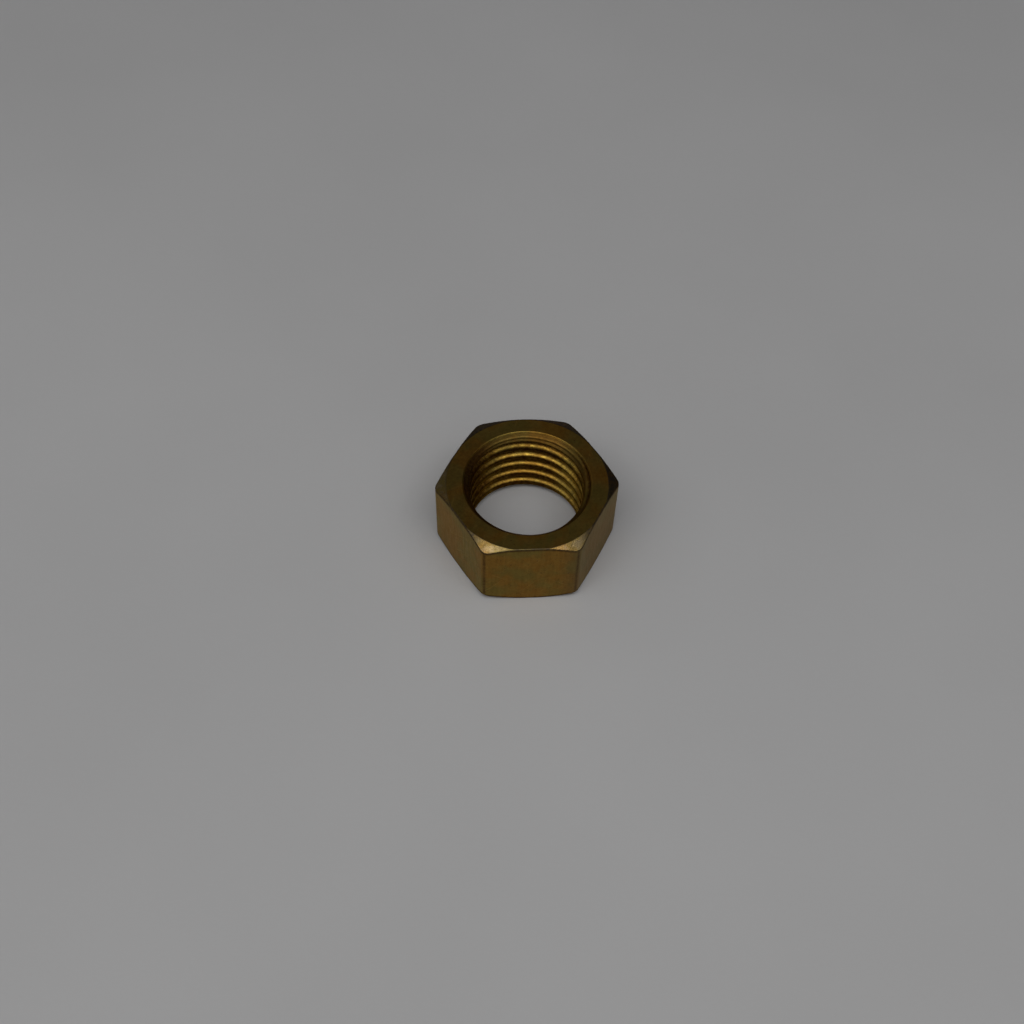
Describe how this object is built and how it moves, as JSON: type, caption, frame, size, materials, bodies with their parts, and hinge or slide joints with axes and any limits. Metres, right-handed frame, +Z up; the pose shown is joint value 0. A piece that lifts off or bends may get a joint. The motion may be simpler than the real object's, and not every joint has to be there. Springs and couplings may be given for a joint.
{
  "type": "hex nut",
  "caption": "Plain brass hex nut with chamfered corners at both ends, countersunk mouths and a fine right-hand thread through its whole height.",
  "frame": {"origin": "centre of the bottom bearing face, on the thread axis", "axes": "+Z up along the thread axis, +X through a corner of the hexagon, +Y through the middle of a flat"},
  "size_m": [0.0162, 0.0142, 0.0078],
  "materials": {
    "brass": "satin"
  },
  "bodies": {
    "root": {"nut_body": "brass"}
  },
  "joints": []
}
